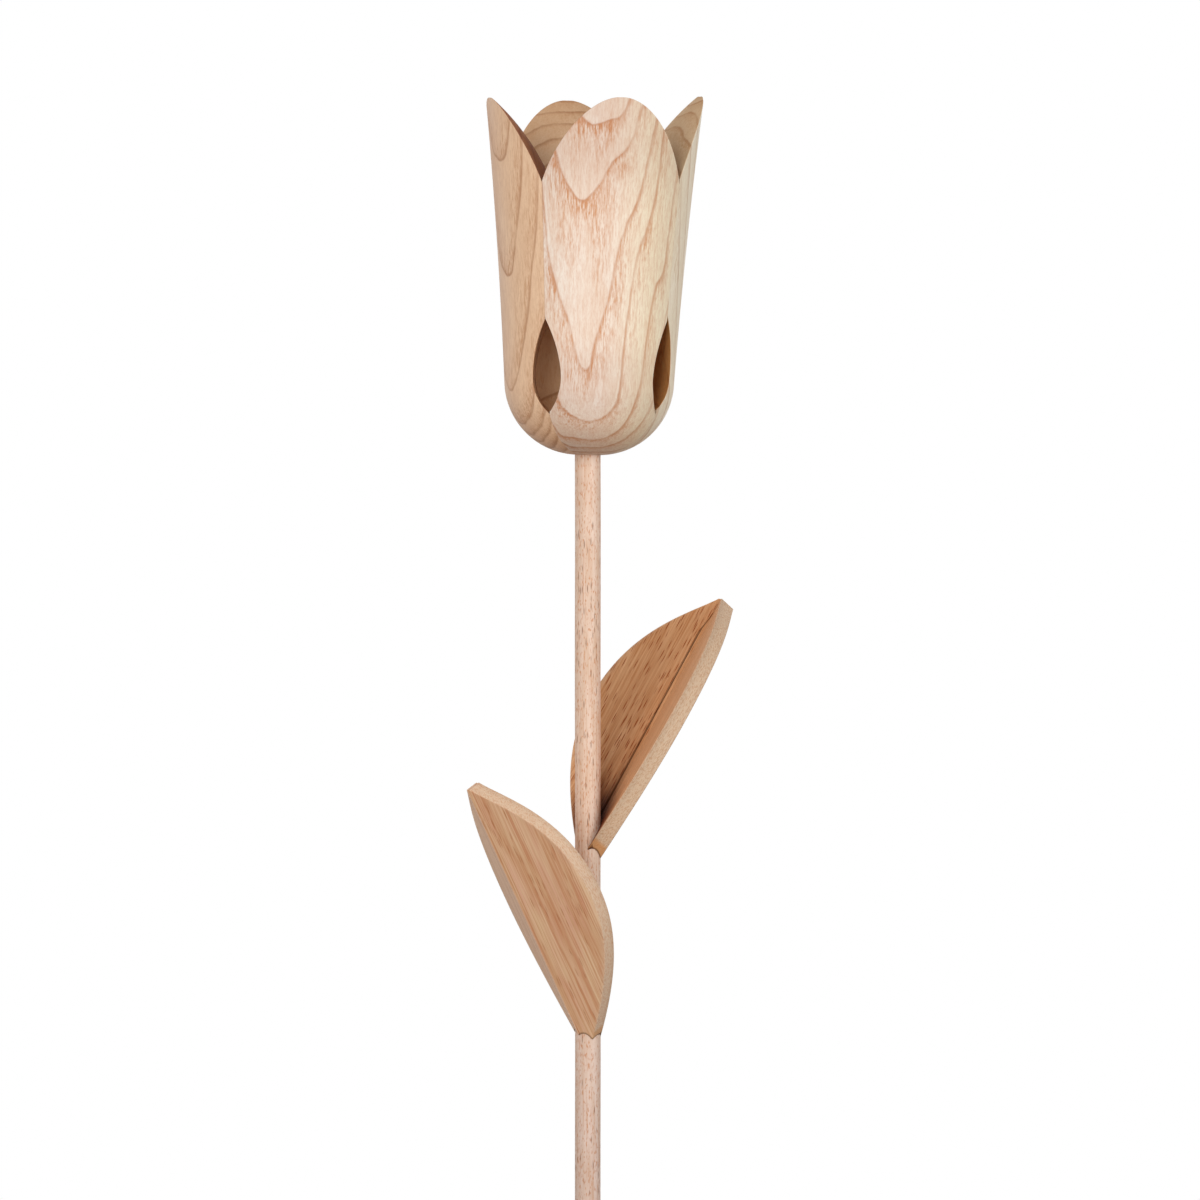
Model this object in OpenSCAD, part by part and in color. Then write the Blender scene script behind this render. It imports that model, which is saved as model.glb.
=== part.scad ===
// Wooden tulip: a flower head of four petals on a round stem with two leaves.
// Millimetres, Z up, the stem's axis on Z, the stem's foot at the origin.
// The viewer in front looks along +Y.
//
// Each petal is a square stick turned twice: once with its outer corner on the
// turning axis, which gives the inner face, and once with its inner corner on
// the axis, which gives the outer face.

/* [Whole flower] */
// Height from the stem's foot to the ends of the petal sticks
flower_h = 340; // [250:5:420]
// Direction the front petal faces, turned from the front towards the right
head_turn = 14.5; // [0:0.5:45]

/* [Flower head, outside] */
// Side of each square stick
stick = 21.5; // [21.2:0.1:22.5]
// Height of the head from its base to the petal tips
head_h = 68.9; // [62:0.1:78]
// Radius of the rounded bottom in section
dome_r = 14.3; // [13:0.1:15]
// Radius of the head where the rounded bottom meets the wall
shoulder_r = 16.3; // [15.6:0.1:16.8]
// Slope of the wall at the shoulder, from upright
wall_lean = 3.4; // [2:0.2:8]
// Radius of the head at the petal tips
rim_r = 21; // [20.4:0.1:21.1]
// How far the wall bows inwards halfway up
wall_bow = 0.36; // [0:0.02:0.6]
// Lean of the hand-made head to the right of the stem
head_lean = 1.1; // [0:0.1:2]
// How far each stick sits above its true place: front, right, back, left
stick_rise = [-0.5, 0.5, -0.4, -0.7];

/* [Flower head, inside] */
// Height of the floor inside the head
floor_h = 6.65; // [5:0.05:8]
// Height at which the first turning is thinnest, level with the windows
cove_h = 15.4; // [14:0.1:17]
// Radius of the first turning there
cove_r = 19.15; // [18:0.05:20]
// Radius in section of the hollow above that place
cove_rise = 23.5; // [20:0.5:28]
// Height of the thickest place of the first turning
swell_h = 35.4; // [32:0.2:38]
// Radius of the first turning there
swell_r = 25.15; // [24.6:0.05:25.6]
// Thickness of a petal at its blunt tip
tip_t = 0.25; // [0.1:0.05:1]

/* [Stem] */
// Diameter of the stem
stem_d = 5; // [4:0.1:6]
// Glue gap round the stem, on the radius
glue_gap = 0.05; // [0.02:0.01:0.1]

/* [Leaves] */
// Half the angle between a leaf's two walls
leaf_half_angle = 63; // [55:0.5:75]
// Largest half width of a leaf
leaf_half_w = 13.3; // [11:0.1:15]
// Half width at the bottom end
leaf_end_half_w = 1.6; // [1.4:0.1:3]
// Half width of the blunt tip
leaf_tip_half_w = 0.5; // [0.3:0.1:1]
// Place of the largest width, as a share of the length
leaf_widest = 0.525; // [0.45:0.005:0.6]

/* [Upper leaf] */
// Length along the keel
upper_l = 59.3; // [45:0.1:70]
// Thickness of its walls
upper_t = 3.3; // [2:0.05:4]
// How far below the head its keel meets the stem
upper_drop = 76.2; // [60:0.1:90]
// Lean away from the stem
upper_lean = 35.5; // [25:0.1:45]
// Direction it points in, turned from the right towards the back
upper_turn = 40.2; // [0:0.1:90]
// How far the stem is let into its bottom end
upper_let_in = 1.1; // [0.4:0.1:1.6]
// How far it sits off the stem's middle, towards the front
upper_shift = 0.42; // [-0.8:0.02:0.8]

/* [Lower leaf] */
// Length along the keel
lower_l = 57.1; // [45:0.1:70]
// Thickness of its walls
lower_t = 2.5; // [2:0.05:4]
// How far below the head its keel meets the stem
lower_drop = 112.1; // [100:0.1:140]
// Lean away from the stem
lower_lean = 30.2; // [25:0.1:45]
// Direction it points in, turned from the right towards the back
lower_turn = 219.6; // [180:0.1:270]
// How far the stem is let into its bottom end
lower_let_in = 1; // [0.6:0.1:1.6]
// How far it sits off the stem's middle, towards the back
lower_shift = -0.36; // [-0.8:0.02:0.8]

/* [Node] */

/* [Hidden] */
head_z = flower_h - head_h;
stem_r = stem_d / 2;
// The stick's diagonal, and a radius that clears its far corner
stick_diagonal = stick * sqrt(2);
first_blank_r = 1.1 * stick_diagonal;
// The first turning's radius at the tips, and the curve that leads there
// level from the swell
tip_first_r = stick_diagonal - rim_r + tip_t;
swell_curve = (pow(head_h - swell_h, 2) + pow(swell_r - tip_first_r, 2))
    / (2 * (swell_r - tip_first_r));
shoulder_h = dome_r * (1 - sin(wall_lean));
dome_centre = shoulder_r - dome_r * cos(wall_lean);
// The hollow under the windows reaches down to the floor
cove_fall = cove_h - floor_h;
// The second turning runs past the tips of the sticks that sit high
trim_h = 1.02 * head_h;
// Angle from the right towards the back at which the front petal faces
front_dir = 270 + head_turn;
leaf_spread = 1 / tan(leaf_half_angle);
// Shape of a leaf's edge: where its curves are led, as shares of the largest
// half width and of the length
leaf_shoulder = [0.88, 0.255];
leaf_widest_lead = 0.12;
leaf_tip_lead = 0.28;
leaf_tip_pull = [0.28, 0.925];

// Outside radius of the wall at height z above the head's base
function wall_r(z) =
    let (t = (z - shoulder_h) / (head_h - shoulder_h))
    shoulder_r + (rim_r - shoulder_r) * t - 4 * wall_bow * t * (1 - t);

// Radius of the first turning above the windows: the hollow, then the swell
function hollow_r(z) =
    cove_r + cove_rise - sqrt(max(0, pow(cove_rise, 2) - pow(z - cove_h, 2)));
function swell_part_r(z) =
    swell_r - swell_curve + sqrt(pow(swell_curve, 2) - pow(z - swell_h, 2));
function first_r(z) =
    z < cove_h + cove_rise ? min(hollow_r(z), swell_part_r(z)) : swell_part_r(z);

// Half width of a leaf at share t of its length: two curves that meet level
// at the widest place, a slow one from the stem and a quick one to the tip
function bezier(p, t) =
    p[0] * pow(1 - t, 3) + 3 * p[1] * t * pow(1 - t, 2)
    + 3 * p[2] * t * t * (1 - t) + p[3] * pow(t, 3);
function leaf_side(l) = concat(
    [for (i = [0:7]) bezier([
        [leaf_end_half_w, 0],
        [leaf_shoulder[0] * leaf_half_w, leaf_shoulder[1] * l],
        [leaf_half_w, (leaf_widest - leaf_widest_lead) * l],
        [leaf_half_w, leaf_widest * l]], i / 8)],
    [for (i = [0:8]) bezier([
        [leaf_half_w, leaf_widest * l],
        [leaf_half_w, (leaf_widest + leaf_tip_lead) * l],
        [leaf_tip_pull[0] * leaf_half_w, leaf_tip_pull[1] * l],
        [leaf_tip_half_w, l]], i / 8)]);

// Half section of the outside of the head
module outer_section() {
    polygon(concat(
        [[0, 0]],
        [for (i = [0:10])
            let (a = 90 - (90 - wall_lean) * i / 10)
            [dome_centre + dome_r * cos(a), dome_r * (1 - sin(a))]],
        [for (i = [1:5])
            let (z = shoulder_h + (trim_h - shoulder_h) * i / 5)
            [wall_r(z), z]],
        [[0, trim_h]]));
}

// Half section of the first turning, about the stick's outer corner. The stick
// starts below the head, and the second turning trims that off.
module first_section() {
    polygon(concat(
        [[0, -floor_h], [first_blank_r, -floor_h], [first_blank_r, floor_h]],
        [for (a = [90:-15:0])
            [cove_r + cove_fall * (1 - cos(a)), cove_h - cove_fall * sin(a)]],
        [for (i = [1:18])
            let (z = cove_h + (head_h - cove_h) * i / 18)
            [first_r(z), z]],
        [[0, head_h]]));
}

// One petal, facing direction dir, its stick raised by rise. The stem's hole
// through its base is drilled in line with the stem.
module petal(dir, rise) {
    difference() {
        translate([0, 0, head_z])
        rotate([0, head_lean, 0])
        rotate([0, 0, dir - 45])
        intersection() {
            rotate_extrude(angle = 90, $fn = 120) outer_section();
            translate([stick, stick, rise])
            rotate([0, 0, 180])
            rotate_extrude(angle = 90, $fn = 120) first_section();
        }
        translate([0, 0, head_z - floor_h])
        cylinder(h = 3 * floor_h, r = stem_r + glue_gap, $fn = 64);
    }
}

// A leaf along +Z: two walls that meet in a keel, open towards +Y
module leaf_blank(l, t) {
    reach = 1.1 * leaf_half_w;
    wall = t / sin(leaf_half_angle);
    intersection() {
        linear_extrude(height = l)
        polygon([
            [0, 0],
            [reach, reach * leaf_spread],
            [reach, reach * leaf_spread - wall],
            [0, -wall],
            [-reach, reach * leaf_spread - wall],
            [-reach, reach * leaf_spread]]);
        side = leaf_side(l);
        translate([0, reach, 0])
        rotate([90, 0, 0])
        linear_extrude(height = 2 * reach)
        polygon(concat(
            side,
            [for (i = [len(side) - 1:-1:0]) [-side[i][0], side[i][1]]]));
    }
}

// A leaf set against the stem, its bottom end hollowed to the stem's round.
// Shift moves it sideways, to the right of the way it points in.
module leaf(l, t, drop, lean, turn, let_in, shift) {
    z = head_z - drop;
    difference() {
        translate([0, 0, z])
        rotate([0, 0, turn + 90])
        translate([-shift, let_in, 0])
        rotate([lean, 0, 0])
        leaf_blank(l, t);
        translate([0, 0, z - l / 2])
        cylinder(h = l, r = stem_r + glue_gap, $fn = 64);
    }
}

module petal_front() {
    color([0.94, 0.85, 0.76]) petal(front_dir, stick_rise[0]);
}

module petal_right() {
    color([0.91, 0.84, 0.74]) petal(front_dir + 90, stick_rise[1]);
}

module petal_back() {
    color([0.86, 0.74, 0.62]) petal(front_dir + 180, stick_rise[2]);
}

module petal_left() {
    color([0.85, 0.70, 0.58]) petal(front_dir + 270, stick_rise[3]);
}

// The stem ends flush with the floor inside the head
module stem() {
    color([0.90, 0.78, 0.70])
    cylinder(h = head_z + floor_h, r = stem_r, $fn = 64);
}

module leaf_upper() {
    color([0.78, 0.60, 0.45])
    leaf(upper_l, upper_t, upper_drop, upper_lean, upper_turn, upper_let_in, upper_shift);
}

module leaf_lower() {
    color([0.76, 0.58, 0.44])
    leaf(lower_l, lower_t, lower_drop, lower_lean, lower_turn, lower_let_in, lower_shift);
}

petal_front();
petal_right();
petal_back();
petal_left();
stem();
leaf_upper();
leaf_lower();
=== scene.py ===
"""Looks of the wooden tulip: turned petals, a dowel stem, two V-shaped leaves.

Lengths in the dataclasses are millimetres, as in the part's source, and are
turned into metres when a mesh is made. Z is up, the stem's foot is at the
origin and the viewer in front looks along +Y.
"""

import logging
import math
from dataclasses import dataclass, field
from enum import Enum

import bmesh
import bpy
import numpy as np
from mathutils import Matrix, Vector

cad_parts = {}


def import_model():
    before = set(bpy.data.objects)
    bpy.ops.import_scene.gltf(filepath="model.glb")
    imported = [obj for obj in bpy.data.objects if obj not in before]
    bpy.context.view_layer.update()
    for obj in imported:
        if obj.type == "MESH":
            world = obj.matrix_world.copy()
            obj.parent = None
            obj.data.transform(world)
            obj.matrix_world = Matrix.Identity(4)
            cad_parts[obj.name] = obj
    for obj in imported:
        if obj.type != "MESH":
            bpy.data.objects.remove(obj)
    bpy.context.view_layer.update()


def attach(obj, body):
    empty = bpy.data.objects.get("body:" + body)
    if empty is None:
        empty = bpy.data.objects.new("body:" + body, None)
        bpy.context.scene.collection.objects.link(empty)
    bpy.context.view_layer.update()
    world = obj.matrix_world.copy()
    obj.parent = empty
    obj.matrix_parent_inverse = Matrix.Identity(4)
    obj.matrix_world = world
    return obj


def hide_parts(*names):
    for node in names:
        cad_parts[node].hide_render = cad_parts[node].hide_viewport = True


LOG = logging.getLogger("tulip")
MM = 0.001
BODY = "root"

FLOWER_H = 340.0
STEM_R = 2.5
GLUE_GAP = 0.05

Colour = tuple[float, float, float, float]
Vector3 = tuple[float, float, float]
Wire = bpy.types.NodeSocket
Node = bpy.types.Node
Group = bpy.types.NodeTree
Piece = bpy.types.Object
Line = tuple[tuple[float, float], ...]
Faces = list[tuple[int, ...]]
Material = bpy.types.Material


class Socket(Enum):
    """Kinds of sockets that the shader groups have."""

    NUMBER = "NodeSocketFloat"
    VECTOR = "NodeSocketVector"


class Blend(Enum):
    """Ways of laying one colour over another."""

    MIX = "MIX"
    MULTIPLY = "MULTIPLY"


def srgb(red: float, green: float, blue: float) -> Colour:
    """Turns a screen colour of 0 to 255 into Blender's linear colour.

    Args:
        red: Red, 0 to 255.
        green: Green, 0 to 255.
        blue: Blue, 0 to 255.

    Returns:
        The linear colour with full alpha.
    """
    linear = []
    for part in (red, green, blue):
        value = part / 255.0
        linear.append(value / 12.92 if value <= 0.04045 else ((value + 0.055) / 1.055) ** 2.4)
    return (linear[0], linear[1], linear[2], 1.0)


def smooth_step(low: float, high: float, value: np.ndarray) -> np.ndarray:
    """Rises smoothly from 0 where value is low to 1 where it is high."""
    share = np.clip((value - low) / (high - low), 0.0, 1.0)
    return share * share * (3.0 - 2.0 * share)


@dataclass
class Graph:
    """A node tree with short calls for adding and linking its nodes."""

    tree: Group

    def add(self, kind: str, **settings: object) -> Node:
        """Adds a node.

        Args:
            kind: Blender's name of the node type, without its ShaderNode prefix.
            **settings: Properties to set on the node.

        Returns:
            The new node.
        """
        node = self.tree.nodes.new("ShaderNode" + kind)
        for name, value in settings.items():
            setattr(node, name, value)
        return node

    def feed(self, socket: Wire, value: object) -> None:
        """Links an output to a socket, or sets a plain value on it.

        Args:
            socket: The socket.
            value: An output or a plain value.
        """
        if isinstance(value, Wire):
            self.tree.links.new(value, socket)
        else:
            socket.default_value = value

    def maths(self, operation: str, first: object, second: object = 0.0,
              third: object = 0.0, clamp: bool = False) -> Wire:
        """Adds a Math node.

        Args:
            operation: Blender's name of the operation.
            first: First value or socket.
            second: Second value or socket.
            third: Third value or socket.
            clamp: Whether the result is kept within 0 to 1.

        Returns:
            The node's output.
        """
        node = self.add("Math", operation=operation, use_clamp=clamp)
        for socket, value in zip(node.inputs, (first, second, third)):
            self.feed(socket, value)
        return node.outputs[0]

    def times(self, first: object, second: object) -> Wire:
        """Multiplies two values."""
        return self.maths("MULTIPLY", first, second)

    def minus(self, first: object, second: object) -> Wire:
        """Takes the second value from the first."""
        return self.maths("SUBTRACT", first, second)

    def stored(self, name: str) -> Wire:
        """Reads a number that set_values stored on the mesh."""
        return self.add("Attribute", attribute_name=name).outputs["Fac"]

    def vector(self, operation: str, *values: object) -> Node:
        """Adds a Vector Math node.

        Args:
            operation: Blender's name of the operation.
            *values: Its vectors or sockets.

        Returns:
            The node.
        """
        node = self.add("VectorMath", operation=operation)
        for socket, value in zip(node.inputs, values):
            self.feed(socket, value)
        return node

    def scaled(self, vector: object, factors: object) -> Wire:
        """Multiplies a vector by one factor on each axis."""
        return self.vector("MULTIPLY", vector, factors).outputs[0]

    def moved(self, vector: object, offset: object) -> Wire:
        """Adds an offset to a vector."""
        return self.vector("ADD", vector, offset).outputs[0]

    def noise(self, vector: object, scale: object = 1.0, detail: float = 2.0,
              roughness: float = 0.5) -> Wire:
        """Adds a Noise Texture.

        Args:
            vector: Where it is read.
            scale: Its scale.
            detail: Its number of octaves.
            roughness: How strong the finer octaves are.

        Returns:
            Its value, about 0 to 1.
        """
        node = self.add("TexNoise")
        self.feed(node.inputs["Vector"], vector)
        self.feed(node.inputs["Scale"], scale)
        node.inputs["Detail"].default_value = detail
        node.inputs["Roughness"].default_value = roughness
        return node.outputs["Fac"]

    def rise(self, value: object, low: object, high: object, start: float = 0.0,
             end: float = 1.0) -> Wire:
        """Maps a value smoothly from low and high to start and end.

        Args:
            value: The value or socket that is read.
            low: Where the change starts.
            high: Where it ends.
            start: The result at low.
            end: The result at high.

        Returns:
            The mapped value.
        """
        node = self.add("MapRange", interpolation_type="SMOOTHSTEP")
        for name, item in (("Value", value), ("From Min", low), ("From Max", high),
                           ("To Min", start), ("To Max", end)):
            self.feed(node.inputs[name], item)
        return node.outputs["Result"]

    def blend(self, share: object, first: object, second: object,
              mode: Blend = Blend.MIX) -> Wire:
        """Mixes two colours.

        Args:
            share: How much of the second, 0 to 1.
            first: First colour or socket.
            second: Second colour or socket.
            mode: How the second goes over the first.

        Returns:
            The mixed colour.
        """
        node = self.add("Mix", data_type="RGBA", blend_type=mode.value)
        for socket, value in ((node.inputs[0], share), (node.inputs[6], first),
                              (node.inputs[7], second)):
            self.feed(socket, value)
        return node.outputs[2]

    def veined(self, colour: object, source: Wire, low: float, high: float,
               share: float, tint: object) -> Wire:
        """Lays a share of a tint over a colour where source is high."""
        return self.blend(self.rise(source, low, high, 0.0, share), colour, tint)

    def place(self, group: Group, **values: object) -> Node:
        """Places a shader group and fills its named inputs.

        Args:
            group: The group.
            **values: A value or socket for each input, spaces written as _.

        Returns:
            The group's node.
        """
        node = self.add("Group", node_tree=group)
        for name, value in values.items():
            self.feed(node.inputs[name.replace("_", " ")], value)
        return node


def new_group(name: str, inputs: tuple[str, ...],
              outputs: tuple[str, ...]) -> tuple[Graph, Node, Node]:
    """Starts a shader group that reads a Place and numbers, and gives numbers.

    Args:
        name: The group's name.
        inputs: The numbers it reads.
        outputs: The numbers it gives.

    Returns:
        Its graph, its input node and its output node.
    """
    tree = bpy.data.node_groups.new(name, "ShaderNodeTree")
    sockets = [("Place", "INPUT", Socket.VECTOR)]
    sockets += [(label, "INPUT", Socket.NUMBER) for label in inputs]
    sockets += [(label, "OUTPUT", Socket.NUMBER) for label in outputs]
    for label, side, kind in sockets:
        tree.interface.new_socket(name=label, in_out=side, socket_type=kind.value)
    return Graph(tree), tree.nodes.new("NodeGroupInput"), tree.nodes.new("NodeGroupOutput")


def stretched(graph: Graph, source: Node) -> Wire:
    """Gives a group's Place in units of its Width across and its Length along the grain.

    Args:
        graph: The group's graph.
        source: The group's input node.

    Returns:
        The stretched place.
    """
    shape = graph.add("CombineXYZ")
    for socket, name in zip(shape.inputs, ("Width", "Width", "Length")):
        graph.feed(socket, graph.maths("DIVIDE", 1.0, source.outputs[name]))
    return graph.scaled(source.outputs["Place"], shape.outputs[0])


@dataclass
class WoodEffects:
    """The shader groups that every wood here is made of.

    Places are in millimetres, with Z along the grain.
    """

    rings: Group = field(init=False)
    fibres: Group = field(init=False)
    pores: Group = field(init=False)
    tone: Group = field(init=False)

    def __post_init__(self) -> None:
        """Builds the groups."""
        self.rings = self._rings()
        self.fibres = self._fibres()
        self.pores = self._pores()
        self.tone = self._tone()

    def all_fibres(self, graph: Graph, place: Wire, *sizes: tuple[float, float]) -> list[Node]:
        """Places fibres of several widths and lengths, in millimetres."""
        return [graph.place(self.fibres, Place=place, Width=width, Length=length)
                for width, length in sizes]

    @staticmethod
    def _rings() -> Group:
        """Growth rings: a thin line where a year ends, and late wood fading from it.

        Returns:
            The group.
        """
        graph, source, target = new_group(
            "growth_rings", ("Year", "Spacing", "Wander", "Line Width", "Fade"),
            ("Line", "Late Wood"))
        place = source.outputs["Place"]
        spacing = source.outputs["Spacing"]
        slow = graph.noise(graph.scaled(place, (0.3, 0.3, 0.1)), 1.0, 1.0)
        fine = graph.noise(graph.scaled(place, (1.6, 1.6, 0.5)), 1.0, 2.0)
        fringe = graph.noise(graph.scaled(place, (3.6, 3.6, 0.55)), 1.0, 2.0)
        sway = graph.maths("MULTIPLY_ADD", graph.minus(fine, 0.5), 0.4, graph.minus(slow, 0.5))
        sway = graph.maths("DIVIDE", graph.times(sway, source.outputs["Wander"]), spacing)

        # The way from the line above and to the line below, in millimetres
        age = graph.maths("FRACT", graph.maths("ADD", source.outputs["Year"], sway))
        width = source.outputs["Line Width"]
        after = graph.times(age, spacing)
        before = graph.times(graph.minus(1.0, age), spacing)
        line = graph.maths("MAXIMUM", graph.rise(after, 0.0, width, 1.0, 0.0),
                           graph.rise(before, 0.0, graph.times(width, 0.45), 1.0, 0.0))
        strength = graph.noise(graph.moved(graph.scaled(place, (0.22, 0.22, 0.10)),
                                           (7.0, 3.0, 1.0)), 1.0, 2.0)
        line = graph.times(line, graph.rise(strength, 0.3, 0.65, 0.45, 1.0))
        reach = graph.maths("MINIMUM", source.outputs["Fade"], graph.times(spacing, 0.85))
        ragged = graph.maths("MULTIPLY_ADD", graph.minus(fringe, 0.5), reach, after)
        late = graph.maths("SUBTRACT", 1.0, graph.maths("DIVIDE", ragged, reach), clamp=True)
        late = graph.maths("POWER", late, 1.5)
        late = graph.times(late, graph.rise(strength, 0.35, 0.65, 0.55, 1.0))
        graph.feed(target.inputs["Line"], line)
        graph.feed(target.inputs["Late Wood"], late)
        return graph.tree

    @staticmethod
    def _fibres() -> Group:
        """Fine fibres along the grain: a streak value and short coloured flecks.

        Returns:
            The group.
        """
        graph, source, target = new_group("wood_fibres", ("Width", "Length"), ("Streak", "Fleck"))
        place = stretched(graph, source)
        streak = graph.noise(place, 0.5, 3.0, 0.6)
        fleck = graph.noise(graph.moved(place, (11.0, 5.0, 23.0)), 1.0, 1.0)
        graph.feed(target.inputs["Streak"], streak)
        graph.feed(target.inputs["Fleck"], graph.rise(fleck, 0.54, 0.70))
        return graph.tree

    @staticmethod
    def _pores() -> Group:
        """Short dark pores along the grain, more of them in some bands.

        Returns:
            The group.
        """
        graph, source, target = new_group(
            "wood_pores", ("Amount", "Width", "Length"), ("Pore", "Crowd"))
        spots = graph.add("TexVoronoi", feature="F1")
        graph.feed(spots.inputs["Vector"], stretched(graph, source))
        spots.inputs["Scale"].default_value = 1.0
        pick = graph.add("SeparateColor")
        graph.feed(pick.inputs[0], spots.outputs["Color"])
        crowd = graph.noise(graph.scaled(source.outputs["Place"], (0.34, 0.34, 0.05)), 1.0, 2.0)
        crowd = graph.rise(crowd, 0.38, 0.62)
        limit = graph.times(source.outputs["Amount"],
                            graph.maths("MULTIPLY_ADD", crowd, 1.5, 0.2))
        chosen = graph.maths("LESS_THAN", pick.outputs[0], limit)
        core = graph.rise(spots.outputs["Distance"], 0.16, 0.42, 1.0, 0.0)
        graph.feed(target.inputs["Pore"], graph.times(core, chosen))
        graph.feed(target.inputs["Crowd"], crowd)
        return graph.tree

    @staticmethod
    def _tone() -> Group:
        """Slow changes of tone over a piece, 0 to 1.

        Returns:
            The group.
        """
        graph, source, target = new_group("wood_tone", ("Size",), ("Tone",))
        scale = graph.maths("DIVIDE", 1.0, source.outputs["Size"])
        place = graph.scaled(source.outputs["Place"], (1.0, 1.0, 0.3))
        graph.feed(target.inputs["Tone"],
                   graph.rise(graph.noise(place, scale, 2.0), 0.3, 0.7))
        return graph.tree


def start_material(name: str, roughness: float) -> tuple[Material, Graph, Node]:
    """Starts a material on a Principled BSDF.

    Args:
        name: The material's name.
        roughness: Its plain roughness.

    Returns:
        The material, its graph and its Principled BSDF.
    """
    material = bpy.data.materials.new(name)
    material.use_nodes = True
    graph = Graph(material.node_tree)
    shader = material.node_tree.nodes["Principled BSDF"]
    shader.inputs["Roughness"].default_value = roughness
    shader.inputs["IOR"].default_value = 1.45
    shader.inputs["Specular IOR Level"].default_value = 0.3
    return material, graph, shader


def add_relief(graph: Graph, shader: Node, height: Wire, depth: float) -> None:
    """Adds a bump to a material.

    Args:
        graph: The material's graph.
        shader: Its Principled BSDF.
        height: Height, 0 to 1.
        depth: Height of the relief in millimetres.
    """
    bump = graph.add("Bump")
    bump.inputs["Strength"].default_value = 1.0
    bump.inputs["Distance"].default_value = depth * MM
    graph.feed(bump.inputs["Height"], height)
    graph.feed(shader.inputs["Normal"], bump.outputs[0])


def own_place(graph: Graph) -> Wire:
    """Gives the place in the piece's own frame, in millimetres, with Z along the grain."""
    return graph.add("Attribute", attribute_name="place").outputs["Vector"]


def part_of(graph: Graph, vector: Wire, axis: int) -> Wire:
    """Gives one part of a vector.

    Args:
        graph: The graph.
        vector: The vector.
        axis: 0 to 2 for X, Y and Z.

    Returns:
        The part.
    """
    split = graph.add("SeparateXYZ")
    graph.feed(split.inputs[0], vector)
    return split.outputs[axis]


def from_stem(graph: Graph) -> Wire:
    """Gives the distance from the stem's axis in millimetres."""
    flat = graph.scaled(graph.add("TexCoord").outputs["Object"], (1 / MM, 1 / MM, 0.0))
    return graph.vector("LENGTH", flat).outputs["Value"]


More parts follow.
